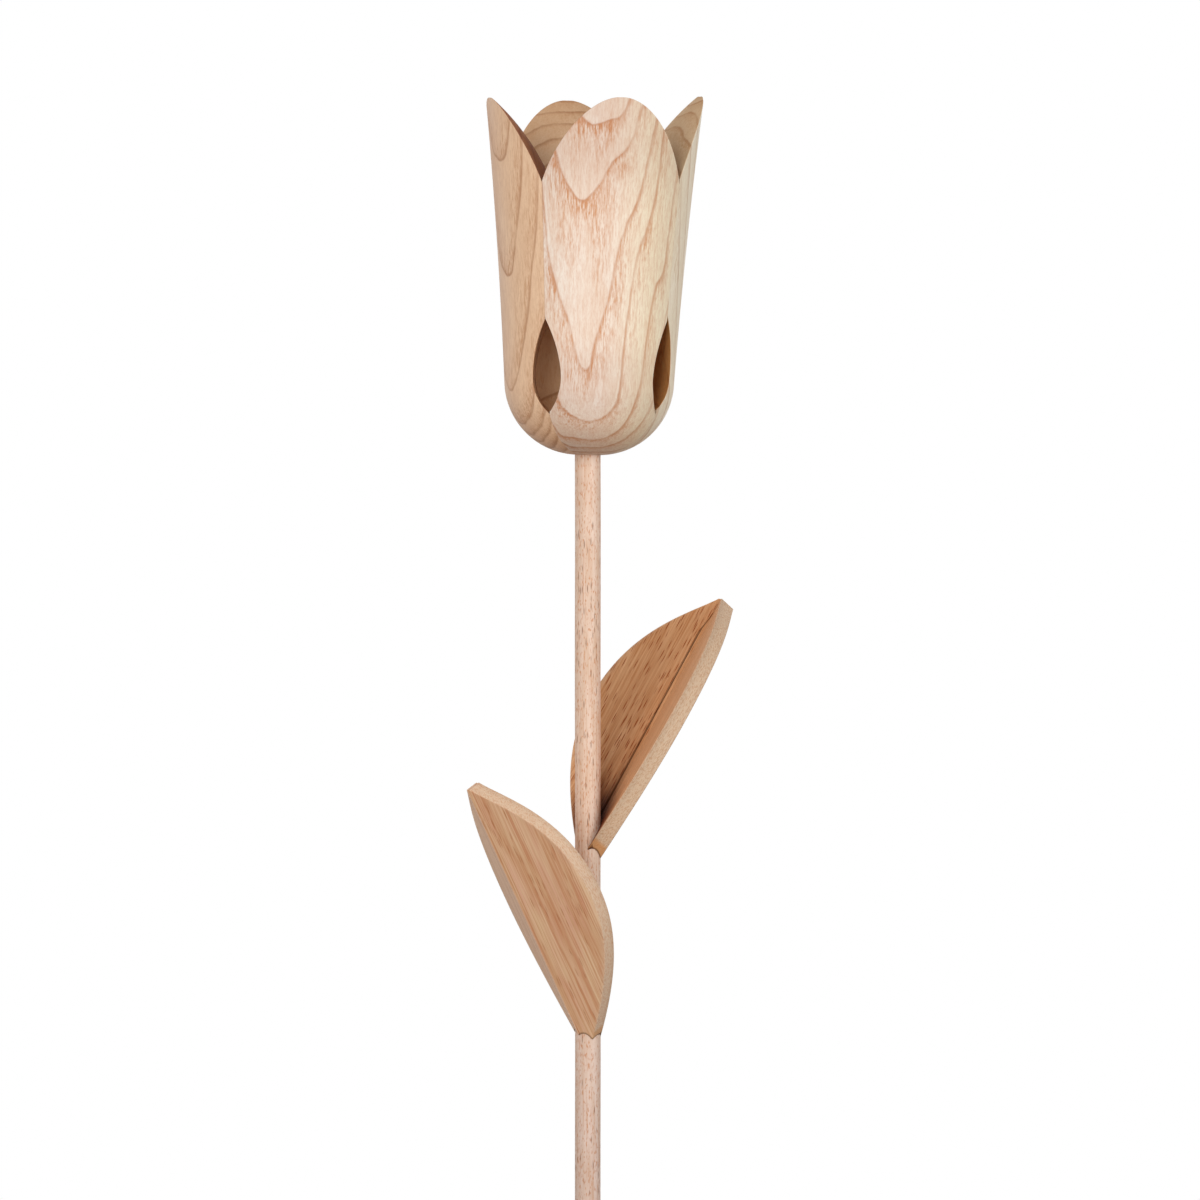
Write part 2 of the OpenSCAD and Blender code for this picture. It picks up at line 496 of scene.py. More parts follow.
@dataclass(frozen=True)
class PetalWood:
    """Pale close-grained wood of one petal stick, sanded and lightly varnished.

    Attributes:
        name: The material's name.
        cut_from: Where in the tree the stick was cut.
        pale: Early wood.
        warm: Early wood in its warmer patches.
        sap: Sapwood on the right-hand side of the petal.
        late: Late wood, which fades away from each line.
        line: The thin line where a year ends.
        hollow: Painted shade on the inner face near the rim, multiplied into its colour.
        window_shade: Painted shade on the inner face lower down, at the windows, multiplied in
            the same way.
        across: What the colour is multiplied by where the wood is cut across.
        ends: What the colour is multiplied by near the tip and below the windows.
        sap_from: How far to the right the sapwood starts.
        sap_full: Where it is at its fullest.
        sap_late: How much of the late wood shows there.
        fade: How far late wood reaches from its line.
    """

    name: str
    cut_from: Vector3
    pale: Colour
    warm: Colour
    sap: Colour
    late: Colour
    line: Colour
    hollow: Colour
    window_shade: Colour = srgb(255, 240, 220)
    across: Colour = srgb(232, 214, 198)
    ends: Colour = srgb(255, 255, 255)
    sap_from: float = -3.0
    sap_full: float = 9.0
    sap_late: float = 0.6
    late_share: float = 0.78
    across_share: float = 0.2
    line_share: float = 0.9
    line_width: float = 0.75
    fade: float = 7.5
    thread_share: float = 0.32
    band_share: float = 0.12
    fleck_share: float = 0.16
    roughness: float = 0.5

    def build(self, effects: WoodEffects) -> Material:
        """Makes the material.

        Args:
            effects: The shared shader groups.

        Returns:
            The material.
        """
        material, graph, shader = start_material(self.name, self.roughness)
        own = own_place(graph)
        place = graph.moved(own, self.cut_from)
        across, height = part_of(graph, own, 1), part_of(graph, own, 2)
        year, spacing, end, inside = (
            graph.stored(name) for name in ("year", "spacing", "end_grain", "inside"))
        rings = graph.place(effects.rings, Place=place, Year=year, Spacing=spacing,
                            Wander=0.8, Line_Width=self.line_width, Fade=self.fade)
        tone = graph.place(effects.tone, Place=place, Size=6.0)
        fine, middle, broad = effects.all_fibres(
            graph, place, (0.13, 0.8), (0.22, 2.2), (0.6, 9.0))
        thread = graph.rise(fine.outputs["Streak"], 0.42, 0.62)
        strand = graph.rise(middle.outputs["Streak"], 0.42, 0.62)
        band = graph.rise(broad.outputs["Streak"], 0.38, 0.64)
        weave = graph.maths("MULTIPLY_ADD", strand, 0.5, graph.times(thread, 0.5))
        colour = graph.blend(tone.outputs["Tone"], self.pale, self.warm)
        colour = graph.blend(graph.rise(across, self.sap_from, self.sap_full), colour, self.sap)

        # Late wood shows in the fibres, less where years are narrow and in the sapwood,
        # and more evenly on end grain
        share = graph.maths("MULTIPLY_ADD", end, self.across_share, self.late_share)
        share = graph.times(share, graph.rise(spacing, 1.5, 9.0, 0.9, 1.2))
        share = graph.times(share, graph.rise(across, -7.0, 7.0, 1.3, self.sap_late))
        glow = graph.maths("MULTIPLY_ADD", weave, graph.rise(end, 0.0, 1.0, 1.0, 0.3),
                           graph.rise(end, 0.0, 1.0, 0.1, 0.5))
        amount = graph.times(rings.outputs["Late Wood"], graph.times(share, glow))
        amount = graph.maths("MULTIPLY_ADD", weave, self.thread_share, amount)
        amount = graph.maths("MULTIPLY_ADD", band, self.band_share, amount, clamp=True)
        colour = graph.blend(amount, colour, self.late)

        # Flecks, and the lines between years, which break up in the fibres
        fleck = graph.times(fine.outputs["Fleck"], self.fleck_share)
        line = graph.times(rings.outputs["Line"],
                           graph.rise(fine.outputs["Streak"], 0.3, 0.62, self.line_share,
                                      self.line_share * 0.6))
        colour = graph.blend(fleck, colour, self.line)
        colour = graph.blend(line, colour, self.line)

        # End grain, the tip and the place below the windows, and painted shade on the inner face
        bottom = graph.maths("MINIMUM", graph.rise(height, 5.0, 11.0),
                             graph.rise(height, 14.0, 24.0, 1.0, 0.0))
        ends = graph.maths("MAXIMUM", graph.rise(height, 44.0, 60.0), bottom)
        # The inner face gets painted shade: well at the windows below, hollow towards the rim
        painted_inner_shade = graph.blend(graph.rise(height, 26.0, 46.0), self.window_shade, self.hollow)
        for mask, factor in ((graph.times(end, 0.8), self.across), (ends, self.ends),
                             (inside, painted_inner_shade)):
            colour = graph.blend(mask, colour, factor, Blend.MULTIPLY)
        graph.feed(shader.inputs["Base Color"], colour)
        rough = graph.rise(fine.outputs["Streak"], 0.3, 0.7, self.roughness + 0.08,
                           self.roughness - 0.06)
        graph.feed(shader.inputs["Roughness"], graph.maths("MULTIPLY_ADD", inside, 0.3, rough))
        add_relief(graph, shader, fine.outputs["Streak"], 0.015)
        return material


@dataclass(frozen=True)
class StemWood:
    """Pinkish wood of the dowel, with short dark pores and pale silver grain.

    Attributes:
        name: The material's name.
        pale: Silver grain.
        warm: The wood between it.
        fleck: Short coloured flecks.
        pore: Open pores.
        low: What the colour of the lower half is multiplied by.
        cut_from: Where in the tree the dowel was cut.
    """

    name: str
    pale: Colour
    warm: Colour
    fleck: Colour
    pore: Colour
    low: Colour = srgb(237, 239, 246)
    cut_from: Vector3 = (31.0, 12.0, 5.0)
    roughness: float = 0.55

    def build(self, effects: WoodEffects) -> Material:
        """Makes the material.

        Args:
            effects: The shared shader groups.

        Returns:
            The material.
        """
        material, graph, shader = start_material(self.name, self.roughness)
        own = own_place(graph)
        place = graph.moved(own, self.cut_from)
        tone = graph.place(effects.tone, Place=place, Size=2.2)
        fine, silk, broad = effects.all_fibres(graph, place, (0.24, 0.9), (0.3, 9.0), (0.9, 30.0))
        pores = graph.place(effects.pores, Place=place, Amount=0.16, Width=0.34, Length=2.6)
        colour = graph.blend(tone.outputs["Tone"], self.pale, self.warm)
        colour = graph.veined(colour, broad.outputs["Streak"], 0.4, 0.6, 0.7, self.warm)
        colour = graph.veined(colour, silk.outputs["Streak"], 0.44, 0.62, 0.7, self.pale)
        for mask, share, tint in ((silk.outputs["Fleck"], 0.35, self.fleck),
                                  (fine.outputs["Fleck"], 0.8, self.fleck),
                                  (pores.outputs["Pore"], 0.75, self.pore)):
            colour = graph.blend(graph.times(mask, share), colour, tint)
        low = graph.rise(part_of(graph, own, 2), 120.0, 200.0, 1.0, 0.0)
        colour = graph.blend(low, colour, self.low, Blend.MULTIPLY)
        graph.feed(shader.inputs["Base Color"], colour)
        height = graph.minus(fine.outputs["Streak"], pores.outputs["Pore"])
        add_relief(graph, shader, height, 0.02)
        return material


@dataclass(frozen=True)
class LeafWood:
    """Brown straight-grained wood of the leaves, open-pored where it is cut across.

    Attributes:
        name: The material's name.
        cut_from: Where in the tree the leaf was cut.
        pale: Pale streaks.
        brown: The wood between the streaks.
        streak: Dark streaks.
        pore: Open pores.
        plain: The wing that was cut along the rays and shows no figure.
        edge: The sawn rims.
        end: The sawn bottom end.
        kerf: Painted shade in the bottom of the V and beside the keel near the bottom end, and
            the line of glue on the stem.
        painted_stem_shade: Painted shade next to the stem, multiplied into the colour there.
        pore_amount: Share of the places that hold a pore.
        pore_depth: How much of the pore's colour shows.
        streak_share: How much of the streaks' colour shows.
    """

    name: str
    cut_from: Vector3
    pale: Colour
    brown: Colour
    streak: Colour
    pore: Colour
    plain: Colour
    edge: Colour
    end: Colour
    kerf: Colour
    painted_stem_shade: Colour
    pore_amount: float
    pore_depth: float
    streak_share: float = 0.6
    roughness: float = 0.6

    def build(self, effects: WoodEffects) -> Material:
        """Makes the material.

        Args:
            effects: The shared shader groups.

        Returns:
            The material.
        """
        material, graph, shader = start_material(self.name, self.roughness)
        own = own_place(graph)
        place = graph.moved(own, self.cut_from)
        wing = graph.rise(part_of(graph, own, 0), -0.25, 0.25)
        tone = graph.place(effects.tone, Place=place, Size=4.0)
        fine, middle, broad = effects.all_fibres(
            graph, place, (0.16, 5.0), (0.17, 20.0), (0.36, 44.0))
        pores = graph.place(effects.pores, Place=place, Amount=self.pore_amount,
                            Width=0.38, Length=4.0)
        sawn, end, groove_shade = (graph.stored(name) for name in ("sawn", "end_grain", "groove_shade"))
        colour = graph.blend(tone.outputs["Tone"], self.pale, self.brown)
        for source, low, high, share, tint in (
                (broad, 0.42, 0.6, self.streak_share * 0.7, self.streak),
                (middle, 0.46, 0.6, self.streak_share, self.streak),
                (fine, 0.44, 0.64, 0.55, self.pale)):
            colour = graph.veined(colour, source.outputs["Streak"], low, high, share, tint)
        for name, share, tint in (("Crowd", 0.3, self.streak),
                                  ("Pore", self.pore_depth, self.pore)):
            colour = graph.blend(graph.times(pores.outputs[name], share), colour, tint)

        # The plain wing, then the sawn rims, the bottom end, and painted shade in the V's bottom
        # and beside the keel
        silk = graph.veined(self.plain, middle.outputs["Streak"], 0.4, 0.62, 0.45, self.streak)
        colour = graph.blend(wing, silk, colour)
        dots = graph.noise(graph.scaled(place, (4.0, 4.0, 1.1)), 1.0, 3.0, 0.7)
        rim = graph.veined(self.edge, dots, 0.44, 0.64, 0.5, self.streak)
        foot = graph.rise(part_of(graph, own, 2), 1.8, 2.6, 0.7, 0.0)
        rim = graph.blend(foot, rim, self.end)
        colour = graph.blend(graph.times(sawn, 0.9), colour, rim)
        colour = graph.blend(graph.times(end, 0.8), colour, self.end)
        colour = graph.blend(groove_shade, colour, self.kerf)

        # Painted shade next to the stem, and the line of glue on it
        away = from_stem(graph)
        near = graph.times(graph.rise(away, STEM_R + 0.1, STEM_R + 6.0, 1.0, 0.0),
                           graph.minus(1.0, sawn))
        glue = graph.rise(away, STEM_R + 0.07, STEM_R + 0.3, 0.7, 0.0)
        colour = graph.blend(near, colour, self.painted_stem_shade, Blend.MULTIPLY)
        colour = graph.blend(glue, colour, self.kerf)
        graph.feed(shader.inputs["Base Color"], colour)
        height = graph.minus(fine.outputs["Streak"], graph.times(pores.outputs["Pore"], 0.8))
        add_relief(graph, shader, height, 0.04)
        return material


@dataclass(frozen=True)
class HeadSize:
    """Sizes of the flower head, the same as in the part's source."""

    turn: float = 14.5
    lean: float = 1.1
    stick: float = 21.5
    height: float = 68.9
    dome_r: float = 14.3
    shoulder_r: float = 16.3
    wall_lean: float = 3.4
    rim_r: float = 21.0
    wall_bow: float = 0.36
    floor_h: float = 6.65
    cove_h: float = 15.4
    cove_r: float = 19.15
    cove_rise: float = 23.5
    swell_h: float = 35.4
    swell_r: float = 25.15
    tip_t: float = 0.25
    socket_r: float = STEM_R + GLUE_GAP

    @property
    def base_z(self) -> float:
        """Height of the head's base above the stem's foot."""
        return FLOWER_H - self.height

    @property
    def diagonal(self) -> float:
        """The stick's diagonal."""
        return self.stick * math.sqrt(2.0)

    @property
    def shoulder_h(self) -> float:
        """Height where the rounded bottom meets the wall."""
        return self.dome_r * (1 - math.sin(math.radians(self.wall_lean)))

    def outer(self, z: np.ndarray) -> np.ndarray:
        """Gives the outside radius of the head.

        Args:
            z: Heights above the head's base.

        Returns:
            The radius at each height.
        """
        centre = self.shoulder_r - self.dome_r * math.cos(math.radians(self.wall_lean))
        dome = centre + np.sqrt(np.clip(
            self.dome_r ** 2 - (self.dome_r - z) ** 2, 0.0, None))
        t = (z - self.shoulder_h) / (self.height - self.shoulder_h)
        wall = self.shoulder_r + (self.rim_r - self.shoulder_r) * t \
            - 4 * self.wall_bow * t * (1 - t)
        return np.where(z < self.shoulder_h, dome, wall)

    def along(self, z: np.ndarray) -> np.ndarray:
        """Gives the way along the outer face, the same as the height on the wall.

        Args:
            z: Heights above the head's base.

        Returns:
            The way, which falls below zero on the rounded bottom.
        """
        arc = np.arcsin(np.clip((self.dome_r - z) / self.dome_r, -1.0, 1.0))
        dome = self.shoulder_h - self.dome_r * (arc - math.radians(self.wall_lean))
        return np.where(z < self.shoulder_h, dome, z)

    def first(self, z: np.ndarray) -> np.ndarray:
        """Gives the radius of the first turning, about the stick's outer corner.

        Args:
            z: Heights on the stick.

        Returns:
            The radius at each height.
        """
        fall = self.cove_h - self.floor_h
        low = self.cove_r + fall - np.sqrt(np.clip(fall ** 2 - (z - self.cove_h) ** 2, 0, None))
        high = self.cove_r + self.cove_rise - np.sqrt(
            np.clip(self.cove_rise ** 2 - (z - self.cove_h) ** 2, 0, None))
        tip_r = self.diagonal - self.rim_r + self.tip_t
        drop = self.swell_r - tip_r
        curve = ((self.height - self.swell_h) ** 2 + drop ** 2) / (2 * drop)
        swell = self.swell_r - curve + np.sqrt(
            np.clip(curve ** 2 - (z - self.swell_h) ** 2, 0, None))
        above = np.where(z > self.cove_h + self.cove_rise, swell, np.minimum(high, swell))
        return np.where(z < self.cove_h, low, above)

    def inner(self, angle: np.ndarray, z: np.ndarray, rise: float) -> np.ndarray:
        """Gives how far the inner face is from the flower's axis.

        Args:
            angle: Angles from the middle of the petal, in radians.
            z: Heights above the head's base.
            rise: How far the stick sits above its true place.

        Returns:
            The distance for each pair.
        """
        reach = self.first(z - rise) ** 2 - (self.diagonal * np.sin(angle)) ** 2
        face = self.diagonal * np.cos(angle) - np.sqrt(np.clip(reach, 0.0, None))
        return np.where(z - rise < self.floor_h, self.socket_r,
                        np.maximum(face, self.socket_r))

    def edge_angle(self, z: np.ndarray, rim: float, rise: float) -> np.ndarray:
        """Gives the angle at which a petal ends, at a joint or at its thin rim.

        Args:
            z: Heights above the head's base.
            rim: Thickness of the rim.
            rise: How far the stick sits above its true place.

        Returns:
            The angle from the petal's middle, in radians.
        """
        r = self.outer(z) - rim
        first = self.first(z - rise)
        cosine = (r ** 2 + self.diagonal ** 2 - first ** 2) / (2 * r * self.diagonal)
        angle = np.arccos(np.clip(cosine, -1.0, 1.0))
        return np.where(z - rise < self.floor_h, math.pi / 4, np.minimum(angle, math.pi / 4))

    def tip(self, rim: float, rise: float) -> float:
        """Gives the height at which a petal is only as thick as its rim.

        Args:
            rim: Thickness of the rim.
            rise: How far the stick sits above its true place.

        Returns:
            The height above the head's base.
        """
        heights = np.linspace(self.height * 0.8, self.height + rise, 4001)
        thick = self.outer(heights) + self.first(heights - rise) - self.diagonal
        return float(heights[np.nonzero(thick >= rim)[0][-1]])

    def placement(self, facing: float) -> Matrix:
        """Gives where a petal's own frame lies.

        Args:
            facing: Direction the petal faces, in degrees.

        Returns:
            The frame.
        """
        return Matrix.Translation((0, 0, self.base_z * MM)) \
            @ Matrix.Rotation(math.radians(self.lean), 4, "Y") \
            @ Matrix.Rotation(math.radians(facing), 4, "Z")


@dataclass(frozen=True)
class RingFigure:
    """The figure that one stick's growth rings draw on the petal.

    Attributes:
        facing: Direction from which the lines are seen, from the petal's middle, degrees.
        lines: The years' ends on the outer face from the top down, each as places
            (to the right, height) from left to right.
        above: Way from the first line to the year above it.
        depth: Thickness of a year under the outer face.
        heart_out: Whether the tree's heart side faces outwards, so that the late
            wood lies above each line.
    """

    facing: float
    lines: tuple[Line, ...]
    above: float = 12.0
    depth: float = 2.5
    heart_out: bool = False

    @staticmethod
    def curve(line: Line, side: np.ndarray) -> np.ndarray:
        """Gives the height of a line: smooth through its points, straight beyond them.

        Args:
            line: The line's points.
            side: Places to the right.

        Returns:
            The height at each place.
        """
        x, y = np.array(line).T
        slope = np.gradient(y, x)
        i = np.clip(np.searchsorted(x, side) - 1, 0, len(x) - 2)
        gap = x[i + 1] - x[i]
        t = np.clip((side - x[i]) / gap, 0.0, 1.0)
        height = y[i] * (1 + 2 * t) * (1 - t) ** 2 + gap * slope[i] * t * (1 - t) ** 2 \
            + y[i + 1] * t * t * (3 - 2 * t) - gap * slope[i + 1] * t * t * (1 - t)
        ends = np.minimum(side - x[0], 0) * slope[0] + np.maximum(side - x[-1], 0) * slope[-1]
        return height + ends

    def year(self, points: np.ndarray, size: HeadSize) -> np.ndarray:
        """Gives the year of the wood at places in the petal's own frame.

        Args:
            points: The places.
            size: The head's sizes.

        Returns:
            The year, counted down from the first line, in which each starts.
        """
        x, y, z = points[..., 0], points[..., 1], points[..., 2]
        a = math.radians(self.facing)
        side = y * math.cos(a) - x * math.sin(a)
        way = size.along(z)
        levels = [size.along(np.maximum(self.curve(line, side), 0.0)) for line in self.lines]
        year = -(way - levels[0]) / self.above
        for i, (upper, lower) in enumerate(zip(levels, levels[1:])):
            share = (upper - way) / np.maximum(upper - lower, 0.3)
            year = np.where(way < upper, i + np.minimum(share, 1.0), year)
        last = len(levels) - 1
        gap = np.maximum(levels[-2] - levels[-1], 1.0)
        year = np.where(way < levels[-1], last + (levels[-1] - way) / gap, year)
        under = size.outer(z) - np.hypot(x, y)
        year = year + np.maximum(under, 0.0) / self.depth
        return 20.0 - year if self.heart_out else 20.0 + year


def new_object(name: str, data: bpy.types.ID) -> Piece:
    """Makes an object and links it to the scene.

    Args:
        name: The object's name.
        data: Its mesh, light or camera.

    Returns:
        The object.
    """
    made = bpy.data.objects.new(name, data)
    bpy.context.scene.collection.objects.link(made)
    return made


def aim(made: Piece, spot: Vector, way: Vector) -> None:
    """Places and turns a camera or a light.

    Args:
        made: The camera or the light.
        spot: Its place, in metres.
        way: The way it looks.
    """
    made.location = spot
    made.rotation_mode = "QUATERNION"
    made.rotation_quaternion = way.to_track_quat("-Z", "Y")


def new_mesh(name: str, form: bmesh.types.BMesh) -> bpy.types.Mesh:
    """Turns a form into a mesh and frees it.

    Args:
        name: The mesh's name.
        form: The form.

    Returns:
        The mesh.
    """
    mesh = bpy.data.meshes.new(name)
    form.to_mesh(mesh)
    form.free()
    return mesh


def mesh_object(name: str, points: np.ndarray, faces: Faces, sharp: float) -> Piece:
    """Makes a smooth-shaded object from points in millimetres.

    Args:
        name: The object's name.
        points: Its points.
        faces: Its faces.
        sharp: Angle in degrees above which an edge stays sharp.

    Returns:
        The object, linked to the scene.
    """
    mesh = bpy.data.meshes.new(name)
    mesh.from_pydata((points * MM).tolist(), [], faces)
    mesh.validate()
    mesh.shade_smooth()
    mesh.set_sharp_from_angle(angle=math.radians(sharp))
    return new_object(name, mesh)


def set_values(made: Piece, name: str, values: np.ndarray) -> None:
    """Stores a number or a vector for each point of a mesh, for its material to read.

    Args:
        made: The object that has the mesh.
        name: The name under which they are stored.
        values: A number or a vector for each point.
    """
    if values.ndim > 1:
        layer = made.data.attributes.new(name, "FLOAT_VECTOR", "POINT")
        layer.data.foreach_set("vector", values.astype(np.float32).ravel())
    else:
        layer = made.data.attributes.new(name, "FLOAT", "POINT")
        layer.data.foreach_set("value", values.astype(np.float32))


def points_of(made: Piece) -> np.ndarray:
    """Gives a mesh's points in millimetres.

    Args:
        made: The object that has the mesh.

    Returns:
        A row for each point.
    """
    co = np.zeros(len(made.data.vertices) * 3)
    made.data.vertices.foreach_get("co", co)
    return co.reshape(-1, 3) / MM


def dress(made: Piece, material: Material, node: str) -> Piece:
    """Gives a piece its material and tells the frame what it is.

    Args:
        made: The piece.
        material: Its material.
        node: The node it stands for.

    Returns:
        The piece.
    """
    made.data.materials.clear()
    made.data.materials.append(material)
    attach(made, BODY)
    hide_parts(node)
    return made


def tube_faces(rows: int, around: int, top: bool = True) -> Faces:
    """Gives the sides, the bottom and the top of a tube.

    Args:
        rows: Number of rows of points, rising upwards.
        around: Number of points in a row.
        top: Whether the top is closed.

    Returns:
        The faces.
    """
    faces = []
    for row in range(rows - 1):
        for i in range(around):
            j = (i + 1) % around
            faces.append((row * around + i, row * around + j,
                          (row + 1) * around + j, (row + 1) * around + i))
    faces.append(tuple(reversed(range(around))))
    if top:
        faces.append(tuple(range((rows - 1) * around, rows * around)))
    return faces


@dataclass
class Petal:
    """One petal: a lens in plan, thin at its free edges, joined to its neighbours.

    Attributes:
        facing: Direction it faces, from the right towards the back, degrees.
        rise: How far its stick sits above its true place.
        rim: Thickness of its free edges.
        seam: Half the open line at a glued joint.
    """

    name: str
    node: str
    facing: float
    rise: float
    wood: PetalWood
    figure: RingFigure
    size: HeadSize = field(default_factory=HeadSize)
    rim: float = 0.15
    dome_rows: int = 46
    wall_rows: int = 115
    columns: int = 56
    seam: float = 0.012

    def heights(self) -> np.ndarray:
        """Gives the heights of the rows, closest at the floor and towards the tip.

        Returns:
            The heights above the head's base, rising.
        """
        size = self.size
        # The rounded bottom starts just above its pole, and two rows frame the floor
        start = math.acos(1 - 0.022 / size.dome_r)
        end = math.pi / 2 - math.radians(size.wall_lean)
        low = size.dome_r * (1 - np.cos(np.linspace(start, end, self.dome_rows)))
        floor = size.floor_h + self.rise
        low = np.sort(np.concatenate([low, [floor - 0.04, floor + 0.04]]))
        top = size.tip(self.rim, self.rise)
        t = np.linspace(0, 1, self.wall_rows + 1)[1:]
        return np.concatenate([low, top - (top - size.shoulder_h) * (1 - t) ** 1.5])

    def loops(self) -> np.ndarray:
        """Gives a closed loop of points round the petal for each row.

        Returns:
            Rows of points: the outer face, an edge, the inner face and the other edge.
        """
        size = self.size
        rows = self.heights()
        # Where a petal isn't joined, its edge is rounded by one point pushed outwards
        edge = size.edge_angle(rows, self.rim, self.rise)
        joined = edge > math.pi / 4 - 1e-6
        edge = edge - np.where(joined, self.seam / size.outer(rows), 0.0)
        share = np.linspace(-1, 1, self.columns + 1)
        angle = edge[:, None] * share[None, :]
        z = np.repeat(rows[:, None], self.columns + 1, axis=1)
        outer_r = size.outer(z)
        inner_r = np.minimum(size.inner(angle, z, self.rise), outer_r - self.rim * 0.5)
        middle_r = (outer_r[:, 0] + inner_r[:, 0]) / 2
        free = 1 - smooth_step(-0.02, 0.0, edge - math.pi / 4)
        bulge = free * self.rim * 0.42 / np.maximum(middle_r, 1.0)

        def ring(r: np.ndarray, a: np.ndarray, h: np.ndarray) -> np.ndarray:
            """Turns polar rows into points."""
            return np.stack([r * np.cos(a), r * np.sin(a), h], axis=-1)

        outer = ring(outer_r, angle, z)
        inner = ring(inner_r, angle, z)[:, ::-1]
        right = ring(middle_r, edge + bulge, rows)[:, None]
        left = ring(middle_r, -edge - bulge, rows)[:, None]
        return np.concatenate([outer, right, inner, left], axis=1)

    def faces(self, rows: int, around: int) -> Faces:
        """Gives the faces round the petal, under it and over its tip.

        Args:
            rows: Number of rows.
            around: Number of points in a row.

        Returns:
            The faces.
        """
        faces = tube_faces(rows, around, top=False)
        top = (rows - 1) * around
        inside = 2 * self.columns + 2
        for i in range(self.columns):
            faces.append((top + i, top + i + 1, top + inside - i - 1, top + inside - i))
        faces.append((top + self.columns, top + self.columns + 1, top + self.columns + 2))
        faces.append((top + inside, top + inside + 1, top))
        return faces

    def year_spacing(self, loops: np.ndarray, year: np.ndarray) -> np.ndarray:
        """Gives how far apart the years lie on the surface.

        Args:
            loops: The rows of points.
            year: The year at each.

        Returns:
            Millimetres to a year at each point.
        """
        total = np.zeros_like(year)
        for axis in (0, 1):
            step = np.linalg.norm(np.gradient(loops, axis=axis), axis=-1)
            total += (np.gradient(year, axis=axis) / np.maximum(step, 0.02)) ** 2
        return np.clip(1 / np.sqrt(np.maximum(total, 1e-6)), 0.5, 40.0)

    def build(self, effects: WoodEffects) -> Piece:
        """Builds, dresses and places the petal.

        Args:
            effects: The shared shader groups.

        Returns:
            The petal.
        """
        loops = self.loops()
        rows, around = loops.shape[:2]
        year = self.figure.year(loops, self.size)
        made = mesh_object(self.name, loops.reshape(-1, 3), self.faces(rows, around), 38.0)
        set_values(made, "year", year.ravel())
        set_values(made, "spacing", self.year_spacing(loops, year).ravel())
        set_values(made, "place", loops.reshape(-1, 3))
        tilt = np.zeros(loops.size)
        made.data.vertices.foreach_get("normal", tilt)
        set_values(made, "end_grain", smooth_step(0.25, 1.0, np.abs(tilt[2::3])))
        inside = np.zeros((rows, around))
        inside[:, self.columns + 1:] = 1.0
        set_values(made, "inside", inside.ravel())
        made.data.transform(self.size.placement(self.facing))
        return dress(made, self.wood.build(effects), self.node)


@dataclass
class Stem:
    """The dowel, sawn at the foot and glued into the head."""

    wood: StemWood
    size: HeadSize = field(default_factory=HeadSize)
    around: int = 72
    rows: int = 140
    arris: float = 0.2
    waver: float = 0.018

    def build(self, effects: WoodEffects) -> Piece:
        """Builds, dresses and places the stem.

        Args:
            effects: The shared shader groups.

        Returns:
            The stem.
        """
        length = self.size.base_z + self.size.floor_h
        heights = np.concatenate([[0.0, self.arris * 0.35, self.arris],
                                  np.linspace(1.0, length, self.rows)])
        inset = np.zeros_like(heights)
        inset[0], inset[1] = self.arris, self.arris * 0.35
        angles = np.linspace(0, 2 * math.pi, self.around, endpoint=False)
        z = heights[:, None]
        sway = self.waver * (np.sin(angles * 2 + z * 0.031) * 0.5 + np.sin(z * 0.13 + angles))
        r = STEM_R - self.waver * 1.5 + sway - inset[:, None]
        points = np.stack([r * np.cos(angles), r * np.sin(angles),
                           np.broadcast_to(z, r.shape)], axis=-1).reshape(-1, 3)
        faces = tube_faces(len(heights), self.around)
        made = mesh_object("stem_dowel", points, faces, 50.0)
        set_values(made, "place", points)
        return dress(made, self.wood.build(effects), "stem")


@dataclass(frozen=True)
class LeafShape:
    """Section and outline that both leaves share, the same as in the part's source."""

    half_angle: float = 63.0
    half_width: float = 13.3
    end_half_width: float = 1.6
    tip_half_width: float = 0.5
    widest: float = 0.525
    shoulder: tuple[float, float] = (0.88, 0.255)
    widest_lead: float = 0.12
    tip_lead: float = 0.28
    tip_pull: tuple[float, float] = (0.28, 0.925)

    def outline(self, steps: int) -> tuple[np.ndarray, np.ndarray]:
        """Gives the half width along the leaf.

        Args:
            steps: Number of steps in each of its two curves.

        Returns:
            Shares of the length, and the half width at each.
        """
        w, m = self.half_width, self.widest
        curves = (
            ((self.end_half_width, 0.0), (self.shoulder[0] * w, self.shoulder[1]),
             (w, m - self.widest_lead), (w, m)),
            ((w, m), (w, m + self.tip_lead), (self.tip_pull[0] * w, self.tip_pull[1]),
             (self.tip_half_width, 1.0)),
        )
        t = np.linspace(0, 1, steps + 1)[:, None]
        parts = []
        for p in curves:
            a, b, c, d = (np.array(q) for q in p)
            parts.append(a * (1 - t) ** 3 + 3 * b * t * (1 - t) ** 2
                         + 3 * c * t * t * (1 - t) + d * t ** 3)
        path = np.concatenate([parts[0], parts[1][1:]])
        return path[:, 1], path[:, 0]


